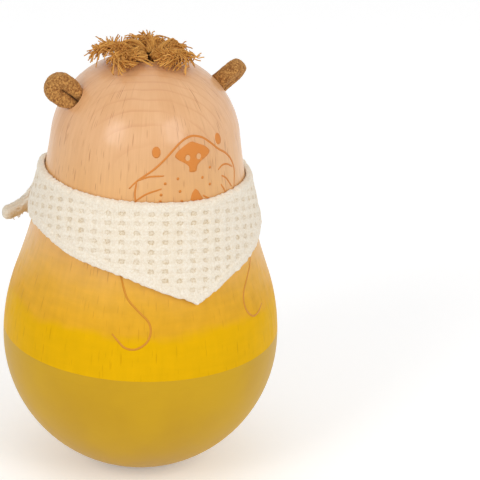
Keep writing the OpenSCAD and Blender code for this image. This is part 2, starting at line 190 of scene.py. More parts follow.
# Its edges are rounded, frayed and wavy, and the upper one has dips: middle, half width and depth
EDGE_ROUND = 0.9
EDGE_ROLL = 0.9
EDGE_LEAST = 0.35
INNER_ROLL = 0.12
EDGE_FRAY = 0.3
EDGE_WAVE = 0.35
EDGE_WAVES = 7.5
POINT_STILL = 6
POINT_EASE = 20
EDGE_DIPS = ((15, 28, 0.5), (70, 26, 1.4))
# The cloth's threads run straight on the flat cloth, so on the widening neck its rows sag to both sides
CELL_W = 4.05
CELL_H = 2.62
GRAIN_ANGLE = -27
ROW_Z = 89.15
ROW_SAG = 0.00114
COLUMN_ANGLE = -32.2
COLUMN_Z = 83.9
KNOT_Z = 79.4
KNOT_W = 15
KNOT_D = 11
KNOT_WRAP_T = 4.8
KNOT_SLANT = 16
KNOT_GAP = 0.3
KNOT_SEAT = 0.6
KNOT_FOLD = 0.16
LOBE_FOLD = 0.1
TAIL_REACH = 21
TAIL_STRAIGHT = 0.33
TAIL_DROP = 12.5
TAIL_CURL = 4
TAIL_W = 4.8
TAIL_T = 3.8
TAIL_SLIM = 0.95
TAIL_ROUND = 0.05
TAIL_GROOVE = 0.2
TAIL_KNOB = 0.17
FRAY_SEED = 3
FRAY_THREADS = 46
FRAY_FROM = 0.45
FRAY_LENGTH = (0.6, 1.1)
FRAY_R = 0.13
FRAY_STEPS = 5


# Small geometry


def unit(v):
    return v / np.linalg.norm(v)


def mix(a, b, t):
    return a + (b - a) * t


def ease(t):
    x = min(max(t, 0), 1)
    return x * x * (3 - 2 * x)


def around(angle, r, z):
    a = radians(angle)
    return np.array([r * sin(a), -r * cos(a), z])


def turns(count):
    """Equal angles once round, in radians."""
    return [2 * pi * k / count for k in range(count)]


def bezier(points, t):
    """Point at t on the smooth curve that a list of points pulls."""
    points = [np.asarray(p, float) for p in points]
    while len(points) > 1:
        points = [mix(p, q, t) for p, q in zip(points, points[1:])]
    return points[0]


def smooth_line(points, per_span=6):
    """A curve through all the points, as a list of close points."""
    p = [np.asarray(q, float) for q in points]
    p = [2 * p[0] - p[1], *p, 2 * p[-1] - p[-2]]
    line = []
    for a, b, c, d in zip(p, p[1:], p[2:], p[3:]):
        for t in np.linspace(0, 1, per_span, endpoint=False):
            square = (2 * a - 5 * b + 4 * c - d) * t**2
            cube = (3 * b - a - 3 * c + d) * t**3
            line.append(0.5 * (2 * b + (c - a) * t + square + cube))
    return line + [p[-2]]


def lumps(p):
    """Smooth unevenness at a place, about -1 to 1."""
    return noise.fractal(p, 1.0, 2.0, 3)


def put_in_scene(name, data):
    obj = bpy.data.objects.new(name, data)
    bpy.context.scene.collection.objects.link(obj)
    return obj


class Mesh:
    """Points in millimetres and faces, gathered from closed forms, and numbers by name for each point."""

    def __init__(self):
        self.points, self.faces, self.values = [], [], {}

    def add(self, points, faces, **values):
        first = len(self.points)
        self.points += list(points)
        self.faces += [tuple(first + i for i in f) for f in faces]
        for key, numbers in values.items():
            self.values.setdefault(key, []).extend(numbers)

    def piece(self, name, body, material, stands_for=()):
        """The smooth piece that these make, riding a body."""
        data = bpy.data.meshes.new(name)
        data.from_pydata([tuple(float(x) * MM for x in p) for p in self.points], [], self.faces)
        data.validate()
        data.polygons.foreach_set("use_smooth", [True] * len(data.polygons))
        for key, numbers in self.values.items():
            held = data.attributes.new(key, "FLOAT", "POINT").data
            held.foreach_set("value", [float(n) for n in numbers])
        data.materials.append(material)
        obj = put_in_scene(name, data)
        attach(obj, body)
        if stands_for:
            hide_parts(*stands_for)
        return obj


def frames(path, across):
    """Tangent and two cross directions at each point of a path."""
    path = np.asarray(path, float)
    out = []
    for t in np.gradient(path, axis=0):
        t = unit(t)
        u = across - np.dot(across, t) * t
        u = unit(u)
        out.append((t, u, np.cross(t, u)))
        across = u
    return out


def ring_faces(rings, sides, closed=False):
    """Faces between rings of points that follow each other, the last joined to the first if closed."""
    faces = []
    for i in range(rings if closed else rings - 1):
        a, b = i * sides, (i + 1) % rings * sides
        for k in range(sides):
            after = (k + 1) % sides
            faces.append((a + k, a + after, b + after, b + k))
    return faces


def tube_faces(rings, sides):
    """Faces between rings of points, with a cap at both ends."""
    last = (rings - 1) * sides
    return ring_faces(rings, sides) + [tuple(range(sides - 1, -1, -1)), tuple(range(last, last + sides))]


def tube(path, radii, across, sides, square=0):
    """A closed tube along a path: points and faces.

    A radius is a number, or a pair along and square to across. square is 0 for an oval section and 1 for a
    box, as one number or one for each point of the path.
    """
    points = []
    turn = turns(sides)
    shares = square if isinstance(square, list) else [square] * len(path)
    for p, r, box, (_, u, v) in zip(path, radii, shares, frames(path, across)):
        a, b = r if isinstance(r, tuple) else (r, r)
        for t in turn:
            x, y = (copysign(abs(w) ** (1 - box), w) for w in (cos(t), sin(t)))
            points.append(p + a * x * u + b * y * v)
    return points, tube_faces(len(path), sides)


def globe(r, centre, rings=16, sides=32):
    """A closed ball of rings, for a knot."""
    points = [centre + np.array([0, 0, r])]
    for i in range(1, rings):
        a = pi * i / rings
        for b in turns(sides):
            way = (sin(a) * cos(b), sin(a) * sin(b), cos(a))
            points.append(centre + r * np.array(way))
    points.append(centre - np.array([0, 0, r]))
    last = len(points) - 1
    faces = [(0, 1 + k, 1 + (k + 1) % sides) for k in range(sides)]
    faces += [(1 + a, 1 + d, 1 + c, 1 + b) for a, b, c, d in ring_faces(rings - 1, sides)]
    base = 1 + (rings - 2) * sides
    faces += [(last, base + (k + 1) % sides, base + k) for k in range(sides)]
    return points, faces


# The body's outside, read from the CAD


def body_profile():
    """Heights and radii of the turned outside, measured on the CAD where no hole is drilled."""
    clear_angle, lowest, highest, step = 17, 0.5, CROWN_Z - 3, 0.25
    trees = []
    for name in ("upper_body", "base_bowl"):
        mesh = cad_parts[name].data
        points, faces = [v.co for v in mesh.vertices], [p.vertices for p in mesh.polygons]
        trees.append(BVHTree.FromPolygons(points, faces))
    heights, radii = [], []
    for z in np.arange(lowest, highest, step):
        start = around(clear_angle, 2 * HEAD_Z, z) * MM
        inwards = Vector(around(clear_angle + 180, 1, 0))
        hits = [tree.ray_cast(Vector(start), inwards)[0] for tree in trees]
        hits = [hypot(h.x, h.y) / MM for h in hits if h]
        if hits:
            heights.append(z)
            radii.append(max(hits))
    return np.array(heights), np.array(radii)


PROFILE_Z, PROFILE_R = body_profile()
PROFILE_SLOPE = np.gradient(PROFILE_R, PROFILE_Z)


def body_r(z, grow=0):
    """Radius of the body at a height, with its surface moved outwards by grow."""
    slope = np.interp(z, PROFILE_Z, PROFILE_SLOPE)
    return np.interp(z, PROFILE_Z, PROFILE_R) + grow * sqrt(1 + slope**2)


# Materials


def linear(r, g, b):
    """A colour written as 0-255 sRGB, as a shader takes it."""
    shares = (r / 255, g / 255, b / 255)
    return tuple(c / 12.92 if c <= 0.04045 else ((c + 0.055) / 1.055) ** 2.4 for c in shares) + (1,)


class Nodes:
    """The nodes of a material or a world, with short calls to add and join them."""

    def __init__(self, tree):
        self.tree = tree

    def put(self, value, socket):
        if isinstance(value, bpy.types.NodeSocket):
            self.tree.links.new(value, socket)
        else:
            socket.default_value = value

    def add(self, kind, inputs=None, **settings):
        node = self.tree.nodes.new("ShaderNode" + kind)
        for key, value in settings.items():
            setattr(node, key, value)
        for key, value in (inputs or {}).items():
            self.put(value, node.inputs[key])
        return node

    def place(self, x=1000, y=None, z=None):
        """The object's own coordinates, stretched to these counts a metre, or to one for all."""
        return self.vector("MULTIPLY", self.add("TexCoord").outputs["Object"], (x, y or x, z or x))

    def noise(self, at, detail=2.0, roughness=0.5, distortion=0.0):
        grade = {"Scale": 1.0, "Detail": detail, "Roughness": roughness, "Distortion": distortion}
        return self.add("TexNoise", {"Vector": at, **grade}).outputs["Fac"]

    def fade(self, value, start, end, low=0.0, high=1.0):
        """value from start to end, turned smoothly into low to high."""
        ends = {"Value": value, "From Min": start, "From Max": end, "To Min": low, "To Max": high}
        return self.add("MapRange", ends, interpolation_type="SMOOTHSTEP").outputs["Result"]

    def math(self, operation, a, b=0.0):
        return self.add("Math", {0: a, 1: b}, operation=operation).outputs[0]

    def times(self, a, b):
        return self.math("MULTIPLY", a, b)

    def vector(self, operation, a, b=(0, 0, 0)):
        return self.add("VectorMath", {0: a, 1: b}, operation=operation).outputs[0]

    def blend(self, factor, a, b, how="MIX"):
        return self.add("Mix", {0: factor, 6: a, 7: b}, data_type="RGBA", blend_type=how).outputs[2]

    def attribute(self, name):
        return self.add("Attribute", attribute_name=name).outputs["Fac"]

    def height(self):
        """Height above the foot in millimetres."""
        return self.add("SeparateXYZ", {0: self.place()}).outputs["Z"]

    def seen(self):
        """1 for what is seen directly, in gloss or through glass, and 0 for what only lights."""
        path = self.add("LightPath").outputs
        either = path["Is Camera Ray"]
        for kind in ("Is Glossy Ray", "Is Transmission Ray"):
            either = self.math("MAXIMUM", either, path[kind])
        return either


class Shader(Nodes):
    """A material's nodes round its main shader."""

    def __init__(self, name, **settings):
        self.material = bpy.data.materials.new(name)
        self.material.use_nodes = True
        super().__init__(self.material.node_tree)
        self.bsdf = self.tree.nodes["Principled BSDF"]
        for key, value in settings.items():
            self.set(key, value)

    def set(self, key, value):
        self.put(value, self.bsdf.inputs[key.replace("_", " ")])

    def bump(self, value, depth_mm, strength=1.0):
        node = self.add("Bump", {"Height": value, "Distance": depth_mm * MM, "Strength": strength})
        self.set("Normal", node.outputs[0])

    def colour(self, value):
        self.set("Base Color", value)


BEECH = linear(226, 173, 123)
BEECH_PALE = linear(234, 186, 139)
BEECH_DARK = linear(210, 153, 98)
BEECH_WARM = linear(230, 172, 92)
FLECK = linear(200, 168, 132)
STAIN = linear(224, 166, 24)
GOLD = linear(228, 175, 0)
MUSTARD = linear(205, 160, 6)
MUSTARD_DARK = linear(197, 152, 6)
INK = linear(215, 128, 44)
INK_ON_STAIN = linear(210, 136, 6)
EAR_DARK = linear(138, 84, 32)
EAR_PALE = linear(212, 156, 84)
# Painted shade colour of the ears' hollows and slit
EAR_HOLLOW_SHADE = linear(98, 54, 18)
EAR_SHEEN = linear(226, 178, 116)
YARN_DARK = linear(178, 114, 38)
YARN_PALE = linear(226, 166, 82)
YARN_FIBRE = linear(232, 178, 100)
# Painted shade colour deep in the tuft
YARN_ROOT_SHADE = linear(112, 64, 18)
CREAM_DARK = linear(238, 223, 199)
CREAM_PALE = linear(252, 243, 227)
CREAM_BLOT = linear(242, 226, 200)
# Painted shade colour of the cloth's pits, folds and grooves
PIT_SHADE = linear(198, 169, 122)
WHITE = (1, 1, 1, 1)
FLOOR_GLOW = 0.25

# Heights on the body between which the looks of the wood change
WARM_BAND = (112, 88)
RING_BAND = (92, 112)
STAIN_BAND = (92, 66)
GOLD_BAND = (61.2, 57.2)
BRUSH_BAND = (98, 82)
CROWN_BAND = (122.5, 119)
FLECK_BAND = (84, 70)
GLOSS_BAND = (82, 58)
COAT_BAND = (80, 58)
INK_BAND = (88, 76)


def along_grain(s, round_count, up_count):
    """Place on the turned wood by its direction from the axis and its height, so that forms run up it."""
    place = s.place()
    way = s.vector("NORMALIZE", s.vector("MULTIPLY", place, (1, 1, 0)))
    flat = s.vector("MULTIPLY", way, (round_count,) * 3)
    return s.vector("ADD", flat, s.vector("MULTIPLY", place, (0, 0, up_count)))


def beech_colour(s):
    """Beech, warmer towards the chest, with faint growth rings on the dome and streaks up the grain."""
    x, y, z = s.add("SeparateXYZ", {0: s.place()}).outputs
    broad = s.noise(s.place(70, 70, 9), detail=4)
    wood = s.blend(s.fade(broad, 0.3, 0.7), BEECH_DARK, BEECH_PALE)
    wood = s.blend(0.45, BEECH, wood)
    wood = s.blend(s.fade(z, *WARM_BAND, 0, 0.6), wood, BEECH_WARM)
    # Rings lie square to one direction, a little curved and uneven, and show on the dome only
    waver = s.noise(s.place(34, 34, 12), detail=3)
    along = s.math("ADD", s.times(x, -0.42), s.times(y, -0.9))
    ring = s.math("ADD", s.times(along, 0.4), s.times(waver, 2.4))
    late = s.fade(s.math("FRACT", ring), 0.72, 0.99)
    patchy = s.noise(s.place(45), detail=1)
    dome = s.times(s.fade(z, *RING_BAND, 0, 0.24), s.fade(patchy, 0.35, 0.65, 0.15, 1))
    wood = s.blend(s.times(late, dome), wood, BEECH_DARK, "MULTIPLY")
    broad_streaks = s.fade(s.noise(along_grain(s, 24, 0.02), detail=3), 0.35, 0.7, 0, 0.26)
    wood = s.blend(broad_streaks, wood, BEECH_DARK)
    fine_streaks = s.fade(s.noise(along_grain(s, 110, 0.14)), 0.45, 0.75, 0, 0.32)
    return s.blend(fine_streaks, wood, BEECH_DARK)


def flecks(s, round_count, up_count, share, strength):
    """The short dark rays that mark beech, one in each of a share of the cells along the grain."""
    cell = s.add("TexVoronoi", {"Vector": along_grain(s, round_count, up_count), "Scale": 1.0}).outputs
    pick = s.add("SeparateColor", {0: cell["Color"]}).outputs
    chosen = s.math("LESS_THAN", pick["Red"], share)
    chosen = s.times(chosen, s.fade(pick["Green"], 0, 1, 0.35, 1))
    return s.times(s.fade(cell["Distance"], 0.34, 0.16, 0, strength), chosen)


def varnished_beech():
    """Varnished beech, stained yellow down the chest and gold above the seam."""
    s = Shader("varnished_beech", Coat_Roughness=0.2)
    wood = beech_colour(s)
    z = s.height()
    uneven = s.times(s.noise(s.place(60, 60, 90), detail=5, roughness=0.6), 9)
    level = s.math("ADD", z, uneven)
    stained = s.blend(s.fade(level, *STAIN_BAND, 0, 0.92), wood, STAIN)
    gold = s.fade(level, *GOLD_BAND)
    colour = s.blend(s.times(gold, 0.95), stained, GOLD)
    # Soft brush marks run round the stained chest and grain runs up it
    marks_round = s.noise(s.place(110, 110, 480), detail=3)
    marks_up = s.noise(s.place(480, 480, 60), detail=3)
    brushed = s.math("SUBTRACT", s.math("ADD", marks_round, marks_up), 1)
    depth = s.times(s.fade(level, *BRUSH_BAND, 0.05, 0.2), s.fade(gold, 0, 1, 1, 0.6))
    tone = s.math("ADD", s.times(brushed, depth), 1)
    colour = s.blend(1, colour, tone, "MULTIPLY")
    # Flecks stop short of the crown and are weaker under the stain
    rays = s.math("MAXIMUM", flecks(s, 50, 0.14, 0.24, 0.85), flecks(s, 66, 0.22, 0.2, 0.7))
    clear = s.times(s.fade(z, *CROWN_BAND), s.fade(level, *FLECK_BAND, 1, 0.4))
    s.colour(s.blend(s.times(rays, clear), colour, FLECK, "MULTIPLY"))
    s.set("Specular IOR Level", s.fade(level, *GLOSS_BAND, 0.4, 0.04))
    s.set("Coat Weight", s.fade(level, *COAT_BAND, 0.48, 0.0))
    pores = s.noise(s.place(900, 900, 60))
    s.set("Roughness", s.fade(pores, 0.35, 0.7, 0.36, 0.5))
    s.bump(pores, 0.02, 0.5)
    return s.material


def mustard_paint():
    """Opaque satin paint over the bowl, thinly uneven."""
    s = Shader("mustard_paint", Specular_IOR_Level=0.25, Coat_Weight=0.04, Coat_Roughness=0.3)
    cloudy = s.noise(s.place(40), detail=4)
    fine = s.noise(s.place(1500))
    paint = s.blend(s.fade(cloudy, 0.35, 0.65), MUSTARD_DARK, MUSTARD)
    s.colour(s.blend(s.fade(fine, 0.6, 0.8, 0, 0.12), paint, MUSTARD_DARK))
    s.set("Roughness", s.fade(cloudy, 0.3, 0.7, 0.4, 0.5))
    s.bump(fine, 0.02, 0.4)
    return s.material


def print_ink():
    """Orange-brown ink that lets the grain show, more golden over the stain."""
    s = Shader("print_ink", Roughness=0.5, Specular_IOR_Level=0.25, Coat_Weight=0.05, Coat_Roughness=0.22)
    ink = s.blend(s.fade(s.height(), *INK_BAND), INK, INK_ON_STAIN)
    s.colour(s.blend(0.88, beech_colour(s), ink))
    return s.material


def steel(name, tone):
    """Turned steel with fine rings from the tool."""
    s = Shader(name, Metallic=1.0, Roughness=0.35)
    rings = s.noise(s.place(40, 40, 4000))
    s.colour(s.blend(s.fade(rings, 0.3, 0.7), tuple(0.8 * c for c in tone[:3]) + (1,), tone))
    s.set("Roughness", s.fade(rings, 0.3, 0.7, 0.28, 0.45))
    s.bump(rings, 0.01, 0.5)
    return s.material


def thread(name, pale, dark):
    """Wound thread."""
    s = Shader(name, Roughness=0.85)
    twist = s.noise(s.place(1800, 1800, 5000))
    s.colour(s.blend(s.fade(twist, 0.35, 0.65), dark, pale))
    s.bump(twist, 0.1)
    return s.material


def felted_cord():
    """Soft felted cord of the ears: small mottled loops of brown wool."""
    s = Shader("felted_cord", Roughness=0.95, Sheen_Weight=0.35, Sheen_Roughness=0.5, Sheen_Tint=EAR_SHEEN)
    loops = s.noise(s.place(1700), detail=3, roughness=0.6, distortion=0.7)
    wool = s.blend(s.fade(loops, 0.34, 0.66), EAR_DARK, EAR_PALE)
    # Painted shade darkens the wool's hollows and the slit between the legs
    s.colour(s.blend(s.times(s.attribute("hollow"), 0.8), wool, EAR_HOLLOW_SHADE))
    s.bump(loops, 0.3, 0.8)
    return s.material


def tuft_yarn():
    """Golden brown yarn, each strand in its own tone, with painted shade darkening it towards its root."""
    s = Shader("tuft_yarn", Roughness=0.85, Specular_IOR_Level=0.2, Sheen_Weight=0.06, Sheen_Roughness=0.5)
    fibres = s.noise(s.place(2500), detail=3, distortion=0.5)
    yarn = s.blend(s.attribute("tone"), YARN_DARK, YARN_PALE)
    yarn = s.blend(s.fade(fibres, 0.35, 0.7, 0, 0.4), yarn, YARN_FIBRE)
    # Painted shade towards the roots, on the inner yarns and on the plies
    s.colour(s.blend(s.attribute("root"), yarn, YARN_ROOT_SHADE))
    s.bump(fibres, 0.08)
    return s.material


def waffle_cloth():
    """Cream waffle cotton with fuzzy threads both ways, and painted shade in its cells, folds and stitches.
    """
    s = Shader("waffle_cloth", Roughness=0.95, Sheen_Weight=0.2, Sheen_Roughness=0.6)
    fuzz = s.noise(s.place(1700), detail=4, roughness=0.65, distortion=0.4)
    blot = s.noise(s.place(180))
    column, row, weave_open = s.attribute("column"), s.attribute("row"), s.attribute("open")
    threads = 16 * pi
    warp = s.math("SINE", s.times(column, threads))
    weft = s.math("SINE", s.times(row, 0.75 * threads))
    weave = s.times(s.math("ADD", warp, weft), 0.12)
    cream = s.blend(s.fade(fuzz, 0.3, 0.7), CREAM_DARK, CREAM_PALE)
    cream = s.blend(s.fade(blot, 0.4, 0.7, 0, 0.25), cream, CREAM_BLOT)
    # Painted shade in each pit: small and uneven, darkest in broken stretches round its edge
    lint = s.noise(s.place(2600))
    stray = s.times(s.math("SUBTRACT", fuzz, 0.5), 1.5)
    aside = s.math("DIVIDE", s.math("PINGPONG", column, 0.5), 0.2)
    down = s.math("DIVIDE", s.math("PINGPONG", row, 0.5), 0.21)
    off = s.math("ADD", s.math("POWER", aside, 3), s.math("POWER", down, 3))
    off = s.math("ADD", s.math("POWER", off, 1 / 3), stray)
    rim = s.times(s.fade(off, 0.2, 0.8, 0.45, 1), s.fade(off, 1.4, 0.9))
    rim = s.times(rim, s.fade(lint, 0.38, 0.6, 0.25, 1))
    rim = s.times(rim, s.fade(blot, 0.35, 0.65, 0.4, 0.8))
    # Painted shade also darkens the rest of its row a little, and the folds and stitches
    between = s.times(s.fade(down, 1.5, 0.6), s.fade(lint, 0.35, 0.65, 0.02, 0.12))
    cell_shade = s.times(weave_open, s.math("MAXIMUM", rim, between))
    folds = s.times(s.attribute("pit"), s.fade(fuzz, 0.25, 0.75, 0.1, 0.3))
    s.colour(s.blend(s.math("MAXIMUM", cell_shade, folds), cream, PIT_SHADE))
    s.bump(s.math("ADD", fuzz, weave), 0.25, 0.8)
    return s.material


def floor_paper():
    """White paper that looks brighter to the camera than it lights the toy, and keeps the toy's shadow."""
    s = Shader("floor_paper", Roughness=0.9)
    tooth = s.noise(s.place(400))
    s.colour(s.blend(tooth, (0.93, 0.93, 0.93, 1), (0.95, 0.95, 0.95, 1)))
    s.set("Emission Color", WHITE)
    s.set("Emission Strength", s.times(s.seen(), FLOOR_GLOW))
    return s.material


# The print: thin films of ink that follow the wood

INK_TOP = 0.03
INK_UNDER = -0.06
LINE_W = 0.6
WHISKER_W = 0.5
ARM_LINE_W = 0.6
# Millimetres to a degree round the head, for drawing flat
FLAT_DEGREE = 0.47

# Places of the drawing are an angle round the body and a height
EYES = ((-22.2, 105.7), (22.2, 106.5))
EYE_SIZE = (1.25, 1.57)
NOSE = (
    (1.5, 107.7), (-5, 106.7), (-10.4, 104.9), (-9.6, 103.6), (-4.2, 102), (-2.0, 100.9),
    (-1.6, 99.5), (2.6, 99.4), (3.6, 100.9), (6.4, 102), (11.6, 103.2), (13.2, 104.5), (8.4, 106.4),
)
NOSTRILS = ((-2.6, 103.5), (4.9, 103.4))
NOSTRIL_SIZE = (0.75, 0.85)
MOUTH = (
    (1.7, 94.5), (-0.6, 93.4), (-1.9, 91.4), (0.5, 90), (4.4, 89.6), (6.4, 91), (4.7, 92.6), (3.2, 94),
)
MUZZLE = (
    (-37.6, 95.4), (-32.3, 98.0), (-22.5, 101.4), (-12.1, 105.9), (-6.5, 107.9), (-1.3, 108.9),
    (3.6, 109.0), (9.6, 108.1), (15.1, 106.2), (21.1, 103.8), (27.6, 101.8), (32.8, 99.4),
    (36.1, 96.4), (35.4, 93.7), (32.2, 89.5),
)
STROKES = (
    ((-33.4, 97.4), (-34.1, 94.6), (-33.6, 92.2), (-31, 89.5)),
    ((-33.1, 97.7), (-26.5, 98.9), (-17.5, 99.1)),
    ((-33.3, 92.2), (-27.5, 94.1), (-19, 95.5)),
    ((19.4, 98.0), (23.8, 98.8), (28.9, 98.3), (34.4, 96.7)),
    ((22.1, 96.0), (26.5, 94.5), (30.8, 91.6)),
    ((20.9, 93.6), (23.5, 91.5), (24.6, 89.5)),
    ((6.4, 92.2), (11.0, 90.6), (13.6, 89)),
)
DOTS = (
    (-16.9, 96.9), (-9.2, 98.0), (-19.3, 93.8), (-8.1, 94.4), (12.8, 99.5), (6.9, 97.2),
    (11.9, 94.8), (-19.8, 92.0), (-7.3, 91.6),
)
DOT_R = 0.42
DOT_CORNERS = 12
FILM_STEP = 0.6
LINE_END = 0.65
LINE_TAPER = 0.15
ARMS = (
    ((-42, 75), (-38.7, 70.2), (-35.6, 65.5), (-30.1, 62.0), (-25.8, 59.4), (-24.7, 56.7),
     (-26.4, 53.7), (-30.9, 51.8), (-35.4, 52.1), (-38.8, 54.1), (-41.1, 55.6)),
    ((40.5, 74), (36.4, 68.7), (31, 65.8), (24.9, 62.2), (23.3, 59.1), (24.4, 56.5), (27.7, 54.7),
     (32.1, 54.8), (36.8, 56.3)),
)


def on_body(angle, z, lift):
    return around(angle, body_r(z, lift), z)


def inside(p, loop):
    """Whether a flat point lies in a closed loop."""
    odd = False
    for (ax, ay), (bx, by) in zip(loop, (*loop[1:], loop[0])):
        if (ay > p[1]) != (by > p[1]) and p[0] < (bx - ax) * (p[1] - ay) / (by - ay) + ax:
            odd = not odd
    return odd


def oval(centre, size, count=20):
    (angle, z), (wide, tall) = centre, size
    return [(angle + wide * cos(a) / FLAT_DEGREE, z + tall * sin(a)) for a in turns(count)]


def rounded(points):
    """A closed smooth outline through the points."""
    ring = [points[-1], *points, points[0], points[1]]
    per_span = 5
    line = smooth_line(ring, per_span)
    return [tuple(p) for p in line[per_span : -2 * per_span - 1]]


def film(print_mesh, outline, holes=()):
    """A filled shape of ink, with an outline and holes."""
    flat = [[(a * FLAT_DEGREE, z) for a, z in loop] for loop in (outline, *holes)]
    points, edges = [], []
    for loop in flat:
        first = len(points)
        edges += [(first + i, first + (i + 1) % len(loop)) for i in range(len(loop))]
        points += loop

    def inked(p):
        return inside(p, flat[0]) and not any(inside(p, h) for h in flat[1:])

    low, high = np.min(flat[0], axis=0), np.max(flat[0], axis=0)
    for x in np.arange(low[0], high[0], FILM_STEP):
        for y in np.arange(low[1], high[1], FILM_STEP):
            if inked((x, y)):
                points.append((x, y))
    points, _, faces, *_ = delaunay_2d_cdt([Vector(p) for p in points], edges, [], 0, 1e-5)
    kept = []
    for f in faces:
        middle = sum((points[i] for i in f), Vector((0, 0))) / len(f)
        if inked(middle):
            kept.append(tuple(f))
    used = sorted({i for f in kept for i in f})
    index = {i: k for k, i in enumerate(used)}
    places = [(points[i][0] / FLAT_DEGREE, points[i][1]) for i in used]
    both = [on_body(angle, z, lift) for lift in (INK_TOP, INK_UNDER) for angle, z in places]
    n = len(used)
    kept = [tuple(index[i] for i in f) for f in kept]
    directed = {(f[i], f[(i + 1) % 3]) for f in kept for i in range(3)}
    rim = [(a, b) for a, b in directed if (b, a) not in directed]
    under = [tuple(n + i for i in reversed(f)) for f in kept]
    print_mesh.add(both, kept + under + [(b, a, n + a, n + b) for a, b in rim])


def stroke(print_mesh, points, width):
    """A drawn line of ink through points, thinner towards its ends."""
    line = smooth_line(points)
    n = len(line)
    places = np.array([on_body(a, z, 0) for a, z in line])
    corners = ((1, INK_TOP), (-1, INK_TOP), (-1, INK_UNDER), (1, INK_UNDER))
    out = []
    for i, (p, t) in enumerate(zip(places, np.gradient(places, axis=0))):
        slope = np.interp(p[2], PROFILE_Z, PROFILE_SLOPE)
        normal = unit(np.array([p[0], p[1], 0]) / hypot(p[0], p[1]) - np.array([0, 0, slope]))
        side = unit(np.cross(normal, t))
        half = width / 2 * mix(LINE_END, 1, ease(min(i, n - 1 - i) / (LINE_TAPER * n)))
        out += [p + way * half * side + lift * normal for way, lift in corners]
    print_mesh.add(out, tube_faces(n, 4))


def make_print(material):
    ink = Mesh()
    for eye in EYES:
        film(ink, oval(eye, EYE_SIZE))
    film(ink, rounded(NOSE), [oval(n, NOSTRIL_SIZE) for n in NOSTRILS])
    film(ink, rounded(MOUTH))
    for dot in DOTS:
        film(ink, oval(dot, (DOT_R, DOT_R), DOT_CORNERS))
    stroke(ink, MUZZLE, LINE_W)
    for line in STROKES:
        stroke(ink, line, WHISKER_W)
    for line in ARMS:
        stroke(ink, line, ARM_LINE_W)
    ink.piece("printed_face_and_arms", "toy", material)


# Ears


def ear_to_head(name):
    """Takes a form that stands up from the origin to an ear's hole."""
    side, angle, tilt, twist = EARS[name]
    tilt = radians(tilt)
    place = Vector((side * (CROWN_FLAT_R + HEAD_R * cos(tilt)), 0, HEAD_Z + HEAD_R * sin(tilt)))
    lean = Matrix.Rotation(side * (pi / 2 - tilt), 4, "Y")
    round_head = Matrix.Rotation(radians(angle - 90 * side), 4, "Z")
    return round_head @ Matrix.Translation(place) @ lean @ Matrix.Rotation(radians(twist), 4, "Z")


def ear_leg(r):
    """Distance from the middle, half width and half depth of a leg that fills half of a hole."""
    wide = r - EAR_LEG_GAP - EAR_SLIT / 2
    x = (wide + EAR_SLIT) / 2
    return x, wide / 2, EAR_LEG_FILL * sqrt((r - EAR_LEG_GAP) ** 2 - x**2)


def ear_line():
    """Centre line and sections of the folded cord, from one leg's knot over the loop to the other's.

    A section is its half depth and half width, and its squareness, which it has outside the hole only.
    """
    loop_x = (EAR_CORD_D + EAR_SLIT) / 2
    loop_z = EAR_LENGTH - loop_x - EAR_CORD_D / 2
    knot_z = -HEAD_R + sqrt((HEAD_R - WALL) ** 2 - EAR_HOLE_R**2) - EAR_KNOT_R / 2
    cord = (loop_x, EAR_CORD_D / 2, EAR_CORD_DEEP / 2)
    mouth = ear_leg(EAR_MOUTH_R)
    half_way = [mix(a, b, 0.6) for a, b in zip(mouth, cord)]
    sizes = np.array([ear_leg(EAR_HOLE_R), ear_leg(EAR_HOLE_R), mouth, half_way, cord, cord])
    heights = [knot_z, -EAR_MOUTH_H, 0, loop_z / 4, loop_z / 2, loop_z]
    leg, sections, square = [], [], []
    for z in np.arange(knot_z, loop_z, EAR_STEP):
        x, wide, deep = (np.interp(z, heights, sizes[:, k]) for k in range(3))
        leg.append((-x, 0, z))
        sections.append((deep, wide))
        square.append(EAR_CORD_SQUARE * ease(z / (loop_z / 2)))
    turn = np.linspace(0, pi, EAR_ARC_POINTS)
    arc = [(-loop_x * cos(a), 0, loop_z + loop_x * sin(a)) for a in turn]
    line = leg + arc + [(-x, y, z) for x, y, z in reversed(leg)]
    sections += [(cord[2], cord[1])] * len(arc) + sections[::-1]
    square += [EAR_CORD_SQUARE] * len(arc) + square[::-1]
    return [np.array(p) for p in line], sections, square, knot_z


def make_ear(name, material):
    line, sections, square, knot_z = ear_line()
    mesh = Mesh()
    mesh.add(*tube(line, sections, np.array([0, 1.0, 0]), EAR_SIDES, square))
    knot = np.array([0, 0, knot_z - EAR_KNOT_DROP])
    mesh.add(*globe(EAR_KNOT_R, knot))
    place = ear_to_head(name)
    centre = np.array(line + [knot])
    woolly, hollow = [], []
    other_wool = Vector((7 * EARS[name][0], 0, 0))
    for p in mesh.points:
        nearest = centre[np.argmin(np.linalg.norm(centre - p, axis=1))]
        wool = lumps(Vector(p) * WOOL_SCALE + other_wool)
        woolly.append(place @ Vector(p + WOOL_DEPTH * wool * unit(p - nearest)))
        # Painted shade: darker in the wool's hollows and in the slit between the legs
        groove = 1 - ease((abs(p[0]) - SLIT_SHADE_W) / SLIT_SHADE_FADE) if p[2] < EAR_LENGTH - EAR_CORD_D else 0
        hollow.append(min(max(HOLLOW_SHADE_EVEN - HOLLOW_SHADE_ODD * wool, groove, 0), 1))
    mesh.points, mesh.values = woolly, {"hollow": hollow}
    mesh.piece(name + "_loop", "toy", material, [name])


# Tuft


